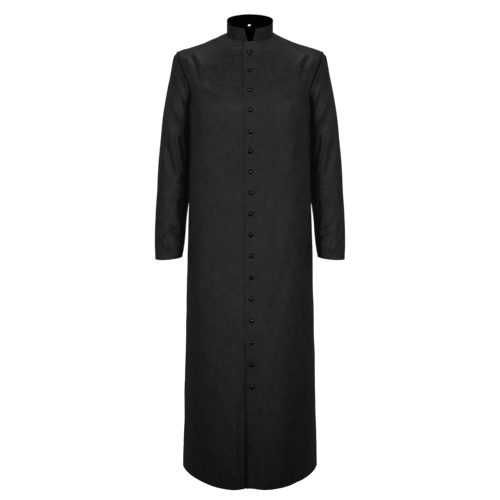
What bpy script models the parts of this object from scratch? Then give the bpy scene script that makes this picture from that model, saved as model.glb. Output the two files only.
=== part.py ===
"""A clergy cassock as it is worn, with no wearer in it: two fronts, a back, two sleeves, a collar, 17 buttons.

The frame is in metres, +Z up, and the front faces -Y. The wearer's left is +X. The origin is on the centre
line, level with the seam between collar and shoulder at the side of the neck. All sizes below are millimetres.
"""

import math

import bpy
import numpy as np

MM = 0.001

# Cloth and seams
CLOTH = 1.6
SEAM_GAP = 0.3
LAP_GAP = 0.35

# The lap down the centre front, whose edge runs a little off upright
LAP_EDGE_X = {"neck": -20.0, "hem": -11.5}
LAP_WIDTH = 39.0
LAP_END_X = 52.0
EDGE_TO_BUTTONS = 18.5

# Collar band
COLLAR_WALL = 2.6
COLLAR_INSET = 0.6
COLLAR_LIFT = 0.4
COLLAR_LIFT_AT_LAP = 1.3
COLLAR_RISE = {"front": 36.0, "side": 37.5, "back": 45.0}
COLLAR_LEAN = {"front": 2.0, "side": 0.0, "back": -2.0}
COLLAR_END_X = {"base": 7.0, "top": 17.0}
COLLAR_COLUMNS = 41
LAP_STEP = {"past_lap": 12.0, "width": 20.0}
STUD_HOLE = {"x": -2.3, "width": 8.0, "height": 5.0, "above_seam": 11.5, "cutter_length": 20.0, "sides": 16}

# Buttons
BUTTON_COUNT = 17
BUTTON_PITCH = {"top": 57.4, "bottom": 65.4}
FIRST_BUTTON_DOWN = 36.0
BUTTON_PROFILE = ((6.4, 0.0), (7.25, 1.2), (6.1, 3.1), (3.3, 4.3))
BUTTON_HEIGHT = 4.7
BUTTON_SIDES = 12

# Armhole, as how far its edge turns forward or back from the side line, in degrees
ARMHOLE_TURN = {"front": 29.5, "back": 27.0}
ARMHOLE_ROUNDNESS = 0.7
ARMHOLE_STEPS = 9

# Sections of the body, from the neck to the hem. down: the length along the side line.
# power: how square the section is. ridge: how round the shoulder is from front to back.
BODY_COLUMNS = ("down", "side_x", "side_z", "front_y", "front_z", "back_y", "back_z", "power", "ridge")
BODY = (
    (0, 69.5, 0, -72, -31, 64, 17, 2.35, 1.0),
    (39, 105, -16, -90.5, -63, 78, -4, 2.12, 1.15),
    (76, 140, -29, -103, -94, 89, -34, 2.06, 1.3),
    (116, 178, -42, -113, -125, 97.5, -68, 2.08, 1.5),
    (152, 212, -53, -120.5, -152, 104, -103, 2.1, 1.6),
    (157, 215, -54.8, -121.4, -155, 104.7, -107.5, 2.11, 1.62),
    (193, 211, -94, -126.5, -174, 108.5, -137, 2.2, 1.7),
    (240, 202, -141, -131.5, -195, 112, -171, 2.28, 1.7),
    (290, 189, -190, -134.5, -217, 114, -204, 2.32, 1.7),
    (338, 183, -238, -135.5, -238, 115, -238, 2.32, 1.7),
    (520, 184, -420, -130, -420, 106, -420, 2.25, 1.7),
    (700, 190, -600, -138, -600, 122, -600, 2.15, 1.7),
    (1100, 202, -1000, -189, -1000, 170, -1000, 1.95, 1.7),
    (1433, 212, -1333, -244, -1333, 214, -1333, 1.78, 1.7),
)
SHOULDER_DOWN, ARMPIT_DOWN, HEM_DOWN = 152, 338, 1433
SHOULDER_ROWS, SKIRT_ROWS = 5, 13
FRONT_COLUMNS, BACK_COLUMNS = 10, 24

# The skirt's largest folds, as upright flutes. x: the middle at the hem. Each grows from its top down to the
# hem, and its middle starts at a share of x.
FLUTE_START = 0.6
FLUTE_SPREAD = 1.6
FLUTE_COLUMNS = ("face", "x", "half_width", "top_z", "depth")
FLUTES = (
    ("front", 0, 33, -760, -26),
    ("front", -104, 38, -820, 5),
    ("front", 108, 38, -860, 5),
    ("back", 4, 30, -600, -13),
    ("back", -58, 32, -560, 9),
    ("back", 66, 32, -590, 9),
    ("back", -126, 28, -640, -9),
    ("back", 131, 28, -620, -8),
)

# Sections of a sleeve, from the armhole to the wrist, from the outer edge to the edge beside the body.
# hold: how far the section still follows the armhole's own loop.
SLEEVE_COLUMNS = ("outer_x", "outer_z", "inner_x", "inner_z", "middle_y", "front_y", "back_y", "hold")
SLEEVE = (
    (212, -53, 183, -238, 0, -52, 52, 1.0),
    (217, -55, 185.5, -241, 2, -53, 55, 0.96),
    (223, -60.5, 186.5, -244, 5, -54, 58, 0.9),
    (227.5, -69, 185.6, -248, 13, -54, 62, 0.8),
    (231, -82, 184.2, -254, 20, -53, 67, 0.66),
    (236, -102, 183.2, -264, 24, -51, 73, 0.48),
    (243, -131, 182.3, -280, 26, -46, 80, 0.3),
    (251, -166, 181, -301, 30, -40, 87, 0.15),
    (259, -206, 180.3, -327, 33, -34, 92, 0.05),
    (267, -256, 180, -359, 35.5, -29, 95, 0.0),
    (274, -311, 180, -395, 37, -25, 95, 0.0),
    (280, -371, 181, -436, 37, -23, 93, 0.0),
    (285, -431, 184, -480, 35, -23, 89, 0.0),
    (288.5, -491, 190.5, -522, 31, -25, 84, 0.0),
    (291.5, -551, 195.5, -562, 24, -30, 77, 0.0),
    (293, -600, 198, -600, 16, -37, 68, 0.0),
    (293.5, -645, 202.5, -643, 8, -44, 59, 0.0),
    (292.5, -681, 208, -675, 2, -49, 52, 0.0),
)
CAP_SECTIONS = 9

# The sleeve's largest drag folds, seen from the front or the back, from the cap down. height: above the
# cloth. A fold fades over a share of its length that starts a little beyond its end.
FOLD_FADE = {"beyond": 0.12, "over": 0.3}
FOLD_SPREAD = 1.5
FOLD_COLUMNS = ("face", "x0", "z0", "x1", "z1", "half_width", "height")
SLEEVE_FOLDS = (
    ("front", 236, -118, 192, -250, 16, -5.0),
    ("front", 226, -128, 181, -300, 14, 4.0),
    ("front", 238, -285, 210, -440, 17, 4.5),
    ("front", 246, -330, 222, -425, 14, -4.0),
    ("front", 236, -590, 205, -618, 14, -4.5),
    ("front", 262, -608, 238, -655, 13, 3.0),
    ("back", 238, -130, 196, -262, 17, -5.0),
    ("back", 248, -300, 214, -402, 18, 5.0),
    ("back", 262, -395, 212, -440, 15, -4.5),
    ("back", 262, -470, 224, -522, 15, 4.0),
)


def smooth(columns, rows, name, at):
    """Reads a table's column as a smooth curve through its rows, at any place along its first column."""
    table = np.array(rows, dtype=float)
    places, values = table[:, 0], table[:, columns.index(name)]
    slopes = np.gradient(values, places)
    at = np.clip(np.asarray(at, dtype=float), places[0], places[-1])
    low = np.clip(np.searchsorted(places, at, side="right") - 1, 0, len(places) - 2)
    width = places[low + 1] - places[low]
    t = (at - places[low]) / width
    start, end = values[low], values[low + 1]
    start_slope, end_slope = slopes[low] * width, slopes[low + 1] * width
    return (
        (2 * t**3 - 3 * t**2 + 1) * start
        + (t**3 - 2 * t**2 + t) * start_slope
        + (3 * t**2 - 2 * t**3) * end
        + (t**3 - t**2) * end_slope
    )


def ease(t):
    """Goes smoothly from 0 to 1 as t does."""
    t = np.clip(t, 0.0, 1.0)
    return t * t * (3 - 2 * t)


def unit(vectors):
    return vectors / np.linalg.norm(vectors, axis=-1, keepdims=True)


def body_column(name, down):
    return smooth(BODY_COLUMNS, BODY, name, down)


def flutes(x, z, facing):
    """How far the skirt's folds stand out at a place. facing: 1 straight ahead, -1 straight behind."""
    total = np.zeros_like(x)
    hem_z = BODY[-1][BODY_COLUMNS.index("side_z")]
    for row in FLUTES:
        flute = dict(zip(FLUTE_COLUMNS, row))
        faced = ease(FLUTE_SPREAD * (facing if flute["face"] == "front" else -facing))
        grown = ease((flute["top_z"] - z) / (flute["top_z"] - hem_z))
        middle = flute["x"] * (FLUTE_START + (1 - FLUTE_START) * grown)
        total = total + flute["depth"] * np.exp(-(((x - middle) / flute["half_width"]) ** 2)) * grown * faced
    return total


def reach(power, angle):
    """The radius of a rounded square of half-width 1."""
    return (np.abs(np.sin(angle)) ** power + np.abs(np.cos(angle)) ** power) ** (-1 / power)


def body(down, angle):
    """A place on the outside of the body. angle: 0 at the centre front, a right angle at the wearer's left."""
    down, angle = np.broadcast_arrays(np.asarray(down, dtype=float), np.asarray(angle, dtype=float))
    column = {name: body_column(name, down) for name in BODY_COLUMNS[1:]}
    ahead, behind = np.clip(np.cos(angle), 0, None), np.clip(-np.cos(angle), 0, None)
    radius = reach(column["power"], angle)
    x = column["side_x"] * radius * np.sin(angle)
    y = radius * (column["front_y"] * ahead + column["back_y"] * behind)
    z = (
        column["side_z"]
        + (column["front_z"] - column["side_z"]) * ahead ** column["ridge"]
        + (column["back_z"] - column["side_z"]) * behind ** column["ridge"]
    )
    y = y - np.sign(np.cos(angle)) * flutes(x, z, np.cos(angle))
    return np.stack([x, y, z], axis=-1)


def body_out(down, angle):
    """The direction straight out of the body's cloth."""
    along = body(np.asarray(down) + 1.0, angle) - body(np.asarray(down) - 1.0, angle)
    around = body(down, np.asarray(angle) + 0.01) - body(down, np.asarray(angle) - 0.01)
    return unit(np.cross(along, around))


def angle_at(down, x):
    """The angle near the front at which the body is x from the centre line."""
    low, high = np.full_like(down, -math.pi / 2), np.full_like(down, math.pi / 2)
    for _ in range(40):
        middle = (low + high) / 2
        beyond = body(down, middle)[..., 0] > x
        low, high = np.where(beyond, low, middle), np.where(beyond, middle, high)
    return (low + high) / 2


def armhole_angle(down, face):
    """How far a panel reaches round at each height, from its own centre line, in radians."""
    t = np.clip((down - SHOULDER_DOWN) / (ARMPIT_DOWN - SHOULDER_DOWN), 0, 1)
    return math.pi / 2 - math.radians(ARMHOLE_TURN[face]) * np.sin(math.pi * t) ** ARMHOLE_ROUNDNESS


def body_rows():
    """The heights of the panels' rows, as lengths down the side line."""
    armhole = (1 - np.cos(np.linspace(0, math.pi, ARMHOLE_STEPS + 1))) / 2
    return np.concatenate(
        [
            np.linspace(0, SHOULDER_DOWN, SHOULDER_ROWS + 1)[:-1],
            SHOULDER_DOWN + (ARMPIT_DOWN - SHOULDER_DOWN) * armhole,
            np.linspace(ARMPIT_DOWN, HEM_DOWN, SKIRT_ROWS + 1)[1:],
        ]
    )


def lap_edge(down):
    return LAP_EDGE_X["neck"] + (LAP_EDGE_X["hem"] - LAP_EDGE_X["neck"]) * down / HEM_DOWN


def seam_turn(down, side_angle):
    """Half a seam's gap at the side, as an angle."""
    step = 0.01
    across = body(down, side_angle + step) - body(down, side_angle - step)
    return SEAM_GAP / 2 / (np.linalg.norm(across, axis=-1) / (2 * step))


def make_material(name, colour, roughness, metallic=0.0):
    material = bpy.data.materials.new(name)
    material.use_nodes = True
    shader = material.node_tree.nodes["Principled BSDF"]
    shader.inputs["Base Color"].default_value = (*colour, 1.0)
    shader.inputs["Roughness"].default_value = roughness
    shader.inputs["Metallic"].default_value = metallic
    material.diffuse_color = (*colour, 1.0)
    return material


def black_cloth(node):
    return make_material(f"{node}_black_wool", (0.018, 0.018, 0.02), 0.75)


def signed_volume(points, faces):
    corners = points[np.array(faces)]
    return float((corners[:, 0] * np.cross(corners[:, 1], corners[:, 2])).sum() / 6)


def add_object(name, points, faces, material):
    """Adds a mesh whose points are in millimetres, with its faces turned out."""
    if signed_volume(points, faces) < 0:
        faces = [face[::-1] for face in faces]
    mesh = bpy.data.meshes.new(name)
    mesh.from_pydata((points * MM).tolist(), [], faces)
    mesh.materials.append(material)
    mesh.shade_smooth()
    mesh.set_sharp_from_angle(angle=math.radians(40))
    thing = bpy.data.objects.new(name, mesh)
    bpy.context.scene.collection.objects.link(thing)
    return thing


def add_wall(name, outer, inner, material, closed=False):
    """Adds a wall between two grids of points, rows by columns. closed: the last column meets the first."""
    rows, columns = outer.shape[:2]
    points = np.concatenate([outer.reshape(-1, 3), inner.reshape(-1, 3)])
    count = rows * columns
    sheet = []
    for i in range(rows - 1):
        for j in range(columns if closed else columns - 1):
            a, b = i * columns + j, i * columns + (j + 1) % columns
            sheet += [(a, a + columns, b + columns), (a, b + columns, b)]
    edges = {(face[k], face[(k + 1) % 3]) for face in sheet for k in range(3)}
    faces = sheet + [(c + count, b + count, a + count) for a, b, c in sheet]
    for a, b in sorted(edges):
        if (b, a) not in edges:
            faces += [(b, a, a + count), (b, a + count, b + count)]
    return add_object(name, points, faces, material)


def front_grid(side):
    """The angles and the lap's lift of a front panel. side: 1 is the wearer's left, which laps on top."""
    down = body_rows()
    edge = lap_edge(down)
    overlap = [edge, edge + EDGE_TO_BUTTONS, edge + LAP_WIDTH]
    if side > 0:
        places = [*overlap, (edge + LAP_WIDTH + LAP_END_X) / 2, np.full_like(down, LAP_END_X)]
    else:
        places = [*overlap[::-1], (edge - LAP_END_X) / 2, np.full_like(down, -LAP_END_X)]
    near = np.stack([angle_at(down, x) for x in places], axis=1)
    far = side * (armhole_angle(down, "front") - seam_turn(down, math.pi / 2))
    share = np.linspace(0, 1, FRONT_COLUMNS + 1)[1:]
    rest = near[:, -1:] + (far[:, None] - near[:, -1:]) * share
    angles = np.concatenate([near, rest], axis=1)
    lift = np.zeros_like(angles)
    if side > 0:
        lift[:, : len(overlap)] = CLOTH + LAP_GAP
        lift[:, len(overlap)] = (CLOTH + LAP_GAP) / 2
    else:
        angles = angles[:, ::-1]
    return down[:, None] + np.zeros_like(angles), angles, lift


def add_front(name, side):
    down, angle, lift = front_grid(side)
    out = body_out(down, angle)
    outer = body(down, angle) + lift[..., None] * out
    return add_wall(name, outer, outer - CLOTH * out, black_cloth(name))


def add_back():
    down = body_rows()
    far = armhole_angle(down, "back") - seam_turn(down, math.pi / 2)
    angle = math.pi + far[:, None] * np.linspace(-1, 1, BACK_COLUMNS + 1)
    down = down[:, None] + np.zeros_like(angle)
    out = body_out(down, angle)
    outer = body(down, angle)
    return add_wall("back", outer, outer - CLOTH * out, black_cloth("back"))


def armhole_loop():
    """The armhole's edge on the wearer's left, down the front and up the back, moved a gap off the panels."""
    t = (1 - np.cos(np.linspace(0, math.pi, ARMHOLE_STEPS + 1))) / 2
    down = SHOULDER_DOWN + (ARMPIT_DOWN - SHOULDER_DOWN) * t
    down = np.concatenate([down, down[-2:0:-1]])
    turn = np.concatenate(
        [
            armhole_angle(down[: ARMHOLE_STEPS + 1], "front"),
            math.pi - armhole_angle(down[ARMHOLE_STEPS + 1 :], "back"),
        ]
    )
    loop, out = body(down, turn), body_out(down, turn)
    along = unit(np.roll(loop, -1, axis=0) - np.roll(loop, 1, axis=0))
    into = np.cross(out, along)
    middle = loop.mean(axis=0)
    into = into * np.sign(((middle - loop) * into).sum(axis=-1, keepdims=True))
    return loop + SEAM_GAP * into


def drag_folds(points, facing):
    """How far the sleeve's folds stand out of its cloth. facing: 1 straight ahead, -1 straight behind."""
    x, z = points[..., 0], points[..., 2]
    total = np.zeros_like(x)
    for row in SLEEVE_FOLDS:
        fold = dict(zip(FOLD_COLUMNS, row))
        run, drop = fold["x1"] - fold["x0"], fold["z1"] - fold["z0"]
        length = math.hypot(run, drop)
        along = ((x - fold["x0"]) * run + (z - fold["z0"]) * drop) / length**2
        across = ((x - fold["x0"]) * drop - (z - fold["z0"]) * run) / length
        ends = ease((along + FOLD_FADE["beyond"]) / FOLD_FADE["over"])
        ends = ends * ease((1 + FOLD_FADE["beyond"] - along) / FOLD_FADE["over"])
        faced = ease(FOLD_SPREAD * (facing if fold["face"] == "front" else -facing))
        total = total + fold["height"] * np.exp(-((across / fold["half_width"]) ** 2)) * ends * faced
    return total


def sleeve_grid():
    """The outside of the wearer's left sleeve, in rings from the armhole to the wrist."""
    sections = np.arange(len(SLEEVE))
    rows = [(k, *row) for k, row in zip(sections, SLEEVE)]
    at = np.concatenate([sections[:CAP_SECTIONS], np.arange(CAP_SECTIONS, len(SLEEVE) - 0.75, 0.5)])
    column = {name: smooth(("place", *SLEEVE_COLUMNS), rows, name, at)[:, None] for name in SLEEVE_COLUMNS}
    loop = armhole_loop()
    turn = np.linspace(0, 2 * math.pi, len(loop) + 1)[:-1]
    outward = (1 + np.cos(turn)) / 2
    ahead, behind = np.clip(np.sin(turn), 0, None), np.clip(-np.sin(turn), 0, None)
    ring = np.stack(
        [
            column["inner_x"] + (column["outer_x"] - column["inner_x"]) * outward,
            column["middle_y"] * (1 - ahead - behind) + column["front_y"] * ahead + column["back_y"] * behind,
            column["inner_z"] + (column["outer_z"] - column["inner_z"]) * outward,
        ],
        axis=-1,
    )
    facing = np.broadcast_to(ahead - behind, ring.shape[:2])
    return ring + column["hold"][..., None] * (loop - ring[0]), facing


def grid_out(grid):
    """The direction out of a closed sleeve's cloth, from its neighbours."""
    around = np.roll(grid, -1, axis=1) - np.roll(grid, 1, axis=1)
    along = np.gradient(grid, axis=0)
    return unit(np.cross(around, along))


def add_sleeve(name, side):
    grid, facing = sleeve_grid()
    fold = drag_folds(grid, facing)
    grid = grid + fold[..., None] * grid_out(grid)
    out = grid_out(grid)
    mirror = np.array([side, 1.0, 1.0])
    return add_wall(name, grid * mirror, (grid - CLOTH * out) * mirror, black_cloth(name), closed=True)


def add_collar():
    """The band stands on the neckline, and its two ends slant apart from the base to the top."""
    heights = np.array([0.0, 0.5, 1.0])
    end_x = COLLAR_END_X["base"] + (COLLAR_END_X["top"] - COLLAR_END_X["base"]) * heights
    end = angle_at(np.zeros_like(end_x), end_x)[:, None]
    angle = end + (2 * math.pi - 2 * end) * np.linspace(0, 1, COLLAR_COLUMNS)
    neck = body(np.zeros_like(angle), angle)
    ahead, behind = np.clip(np.cos(angle), 0, None), np.clip(-np.cos(angle), 0, None)
    rise = COLLAR_RISE["side"] + (COLLAR_RISE["front"] - COLLAR_RISE["side"]) * ahead
    rise = rise + (COLLAR_RISE["back"] - COLLAR_RISE["side"]) * behind
    lean = COLLAR_LEAN["front"] * ahead + COLLAR_LEAN["back"] * behind
    place = neck.copy()
    place[..., 1] += lean * heights[:, None]
    inside = LAP_END_X + LAP_STEP["past_lap"] - np.abs(neck[..., 0])
    lift = COLLAR_LIFT + (COLLAR_LIFT_AT_LAP - COLLAR_LIFT) * ease(inside / LAP_STEP["width"]) * (ahead > 0)
    place[..., 2] += lift * (1 - heights[:, None]) + rise * heights[:, None]
    step = 0.01
    around = body(np.zeros_like(angle), angle + step) - body(np.zeros_like(angle), angle - step)
    out = unit(np.cross(np.array([0.0, 0.0, -1.0]), around * np.array([1.0, 1.0, 0.0])))
    outer = place - COLLAR_INSET * out
    collar = add_wall("collar", outer[::-1], (outer - COLLAR_WALL * out)[::-1], black_cloth("collar"))
    back_seam = body(0.0, math.pi)
    hole_z = float(back_seam[2]) + COLLAR_LIFT + STUD_HOLE["above_seam"]
    turned = (math.pi / 2, 0, 0)
    bpy.ops.mesh.primitive_cylinder_add(vertices=STUD_HOLE["sides"], radius=1.0, depth=1.0, rotation=turned)
    cutter = bpy.context.object
    cutter.name = "stud_hole_cutter"
    cutter.location = (STUD_HOLE["x"] * MM, float(back_seam[1]) * MM, hole_z * MM)
    size = (STUD_HOLE["width"] / 2, STUD_HOLE["height"] / 2, STUD_HOLE["cutter_length"])
    cutter.scale = tuple(MM * length for length in size)
    cutter.hide_render = True
    cutter.display_type = "WIRE"
    cut = collar.modifiers.new("stud_hole", "BOOLEAN")
    cut.operation = "DIFFERENCE"
    cut.solver = "EXACT"
    cut.object = cutter
    return collar


def button_mesh():
    turn = np.linspace(0, 2 * math.pi, BUTTON_SIDES + 1)[:-1]
    circle = np.stack([np.cos(turn), np.sin(turn), np.zeros_like(turn)], axis=1)
    rings = [radius * circle + np.array([0.0, 0.0, height]) for radius, height in BUTTON_PROFILE]
    points = np.concatenate([*rings, [[0.0, 0.0, BUTTON_HEIGHT]]])
    top, last = len(points) - 1, (len(BUTTON_PROFILE) - 1) * BUTTON_SIDES
    faces = [tuple(range(BUTTON_SIDES))[::-1]]
    for i in range(len(BUTTON_PROFILE) - 1):
        for j in range(BUTTON_SIDES):
            a, b = i * BUTTON_SIDES + j, i * BUTTON_SIDES + (j + 1) % BUTTON_SIDES
            faces.append((a, b, b + BUTTON_SIDES, a + BUTTON_SIDES))
    for j in range(BUTTON_SIDES):
        faces.append((last + j, last + (j + 1) % BUTTON_SIDES, top))
    mesh = bpy.data.meshes.new("button")
    mesh.from_pydata((points * MM).tolist(), [], faces)
    mesh.shade_smooth()
    mesh.set_sharp_from_angle(angle=math.radians(50))
    return mesh


def button_places():
    """Steps along the line of the buttons that widen evenly, given as lengths down the side line."""
    down = np.linspace(0, HEM_DOWN, HEM_DOWN + 1)
    line = body(down, angle_at(down, lap_edge(down) + EDGE_TO_BUTTONS))
    length = np.concatenate([[0.0], np.cumsum(np.linalg.norm(np.diff(line, axis=0), axis=1))])
    steps = np.linspace(BUTTON_PITCH["top"], BUTTON_PITCH["bottom"], BUTTON_COUNT - 1)
    return np.interp(FIRST_BUTTON_DOWN + np.concatenate([[0.0], np.cumsum(steps)]), length, down)


def lap_line(offset):
    """The outside of the lap's facets along one of its columns, row by row."""
    rows = body_rows()
    angle = angle_at(rows, lap_edge(rows) + offset)
    return body(rows, angle) + (CLOTH + LAP_GAP) * body_out(rows, angle)


def on_lap(down):
    """Where a button's flat back sits clear of the lap's facets, and the direction out of them."""
    rows = body_rows()
    low = int(np.clip(np.searchsorted(rows, down) - 1, 0, len(rows) - 2))
    share = (down - rows[low]) / (rows[low + 1] - rows[low])
    line = lap_line(EDGE_TO_BUTTONS)
    place = line[low] + share * (line[low + 1] - line[low])
    out = unit(np.cross(line[low + 1] - line[low], np.array([1.0, 0.0, 0.0])))
    edges = (lap_line(0.0), lap_line(LAP_WIDTH))
    beside = [edge[low] + share * (edge[low + 1] - edge[low]) for edge in edges]
    around = [*beside, line[max(low - 1, 0)], line[min(low + 2, len(rows) - 1)]]
    slopes = [float((unit(point - place) * out).sum()) for point in around]
    widest = max(radius for radius, _ in BUTTON_PROFILE)
    return place + (SEAM_GAP + widest * max(0.0, *slopes)) * out, out


def add_buttons():
    shared = button_mesh()
    for n, down in enumerate(button_places(), start=1):
        place, out = on_lap(float(down))
        name = f"button_{n:02d}"
        thing = bpy.data.objects.new(name, shared.copy())
        thing.data.materials.append(make_material(f"{name}_black_gloss", (0.012, 0.012, 0.013), 0.12))
        thing.location = place * MM
        thing.rotation_euler = (math.atan2(-out[1], out[2]), 0, 0)
        bpy.context.scene.collection.objects.link(thing)


def main():
    for thing in list(bpy.data.objects):
        bpy.data.objects.remove(thing, do_unlink=True)
    add_front("front_left", 1)
    add_front("front_right", -1)
    add_back()
    add_sleeve("sleeve_left", 1)
    add_sleeve("sleeve_right", -1)
    add_collar()
    add_buttons()


main()
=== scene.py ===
"""The looks of a black clergy cassock with nobody in it: cloth, collar, buttons, buttonholes and stitching.

The shape functions work in millimetres in the frame of the solids: +Z up, the front towards -Y, the
wearer's left towards +X, and the origin on the centre line at the side of the neck. Meshes and materials
are in metres.
"""

import math

import bpy
import numpy as np
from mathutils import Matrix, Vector
from mathutils.bvhtree import BVHTree


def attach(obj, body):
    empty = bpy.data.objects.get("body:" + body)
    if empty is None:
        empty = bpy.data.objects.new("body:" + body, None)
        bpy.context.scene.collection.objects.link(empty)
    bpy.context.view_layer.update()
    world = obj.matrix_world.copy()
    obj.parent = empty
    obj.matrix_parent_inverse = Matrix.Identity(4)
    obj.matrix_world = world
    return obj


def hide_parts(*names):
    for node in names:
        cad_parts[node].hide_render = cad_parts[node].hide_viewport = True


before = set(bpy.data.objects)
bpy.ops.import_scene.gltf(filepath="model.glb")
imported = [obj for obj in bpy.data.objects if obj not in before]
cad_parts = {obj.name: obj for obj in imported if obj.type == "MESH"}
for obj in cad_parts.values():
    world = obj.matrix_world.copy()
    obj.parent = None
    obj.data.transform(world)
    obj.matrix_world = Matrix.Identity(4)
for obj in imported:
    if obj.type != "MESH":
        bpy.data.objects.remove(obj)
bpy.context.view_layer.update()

MM = 0.001

# Cloth, seams and the lap, as in the solids
CLOTH = 1.6
SEAM_GAP = 0.3
LAP_GAP = 0.35
LAP_EDGE_X = {"neck": -20.0, "hem": -11.5}
LAP_WIDTH = 39.0
LAP_END_X = 52.0

# Collar band, as in the solids
COLLAR_WALL = 2.6
COLLAR_INSET = 0.6
COLLAR_LIFT = 0.4
COLLAR_LIFT_AT_LAP = 1.3
COLLAR_RISE = {"front": 36.0, "side": 37.5, "back": 45.0}
COLLAR_LEAN = {"front": 2.0, "back": -2.0}
COLLAR_END_X = {"base": 7.0, "top": 17.0}
LAP_STEP = {"past_lap": 12.0, "width": 20.0}
STUD_HOLE = {"x": -2.3, "width": 8.0, "height": 5.0, "above_seam": 11.5, "cutter_length": 20.0, "sides": 40}

# Armhole, as in the solids
ARMHOLE_TURN = {"front": 29.5, "back": 27.0}
ARMHOLE_ROUNDNESS = 0.7

# Sections of the body, as in the solids
BODY_COLUMNS = ("down", "side_x", "side_z", "front_y", "front_z", "back_y", "back_z", "power", "ridge")
BODY = (
    (0, 69.5, 0, -72, -31, 64, 17, 2.35, 1.0),
    (39, 105, -16, -90.5, -63, 78, -4, 2.12, 1.15),
    (76, 140, -29, -103, -94, 89, -34, 2.06, 1.3),
    (116, 178, -42, -113, -125, 97.5, -68, 2.08, 1.5),
    (152, 212, -53, -120.5, -152, 104, -103, 2.1, 1.6),
    (157, 215, -54.8, -121.4, -155, 104.7, -107.5, 2.11, 1.62),
    (193, 211, -94, -126.5, -174, 108.5, -137, 2.2, 1.7),
    (240, 202, -141, -131.5, -195, 112, -171, 2.28, 1.7),
    (290, 189, -190, -134.5, -217, 114, -204, 2.32, 1.7),
    (338, 183, -238, -135.5, -238, 115, -238, 2.32, 1.7),
    (520, 184, -420, -130, -420, 106, -420, 2.25, 1.7),
    (700, 190, -600, -138, -600, 122, -600, 2.15, 1.7),
    (1100, 202, -1000, -189, -1000, 170, -1000, 1.95, 1.7),
    (1433, 212, -1333, -244, -1333, 214, -1333, 1.78, 1.7),
)
SHOULDER_DOWN, ARMPIT_DOWN, HEM_DOWN = 152, 338, 1433
HEM_Z = -1333.0

# The skirt's largest folds, as in the solids
FLUTE_START = 0.6
FLUTE_SPREAD = 1.6
FLUTE_COLUMNS = ("face", "x", "half_width", "top_z", "depth")
FLUTES = (
    ("front", 0, 33, -760, -26),
    ("front", -104, 38, -820, 5),
    ("front", 108, 38, -860, 5),
    ("back", 4, 30, -600, -13),
    ("back", -58, 32, -560, 9),
    ("back", 66, 32, -590, 9),
    ("back", -126, 28, -640, -9),
    ("back", 131, 28, -620, -8),
)

# Sections of a sleeve and its largest drag folds, as in the solids
SLEEVE_COLUMNS = ("outer_x", "outer_z", "inner_x", "inner_z", "middle_y", "front_y", "back_y", "hold")
SLEEVE = (
    (212, -53, 183, -238, 0, -52, 52, 1.0),
    (217, -55, 185.5, -241, 2, -53, 55, 0.96),
    (223, -60.5, 186.5, -244, 5, -54, 58, 0.9),
    (227.5, -69, 185.6, -248, 13, -54, 62, 0.8),
    (231, -82, 184.2, -254, 20, -53, 67, 0.66),
    (236, -102, 183.2, -264, 24, -51, 73, 0.48),
    (243, -131, 182.3, -280, 26, -46, 80, 0.3),
    (251, -166, 181, -301, 30, -40, 87, 0.15),
    (259, -206, 180.3, -327, 33, -34, 92, 0.05),
    (267, -256, 180, -359, 35.5, -29, 95, 0.0),
    (274, -311, 180, -395, 37, -25, 95, 0.0),
    (280, -371, 181, -436, 37, -23, 93, 0.0),
    (285, -431, 184, -480, 35, -23, 89, 0.0),
    (288.5, -491, 190.5, -522, 31, -25, 84, 0.0),
    (291.5, -551, 195.5, -562, 24, -30, 77, 0.0),
    (293, -600, 198, -600, 16, -37, 68, 0.0),
    (293.5, -645, 202.5, -643, 8, -44, 59, 0.0),
    (292.5, -681, 208, -675, 2, -49, 52, 0.0),
)
FOLD_FADE = {"beyond": 0.12, "over": 0.3}
FOLD_SPREAD = 1.5
FOLD_COLUMNS = ("face", "x0", "z0", "x1", "z1", "half_width", "height")
SLEEVE_FOLDS = (
    ("front", 236, -118, 192, -250, 16, -5.0),
    ("front", 226, -128, 181, -300, 14, 4.0),
    ("front", 238, -285, 210, -440, 17, 4.5),
    ("front", 246, -330, 222, -425, 14, -4.0),
    ("front", 236, -590, 205, -618, 14, -4.5),
    ("front", 262, -608, 238, -655, 13, 3.0),
    ("back", 238, -130, 196, -262, 17, -5.0),
    ("back", 248, -300, 214, -402, 18, 5.0),
    ("back", 262, -395, 212, -440, 15, -4.5),
    ("back", 262, -470, 224, -522, 15, 4.0),
)

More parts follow.
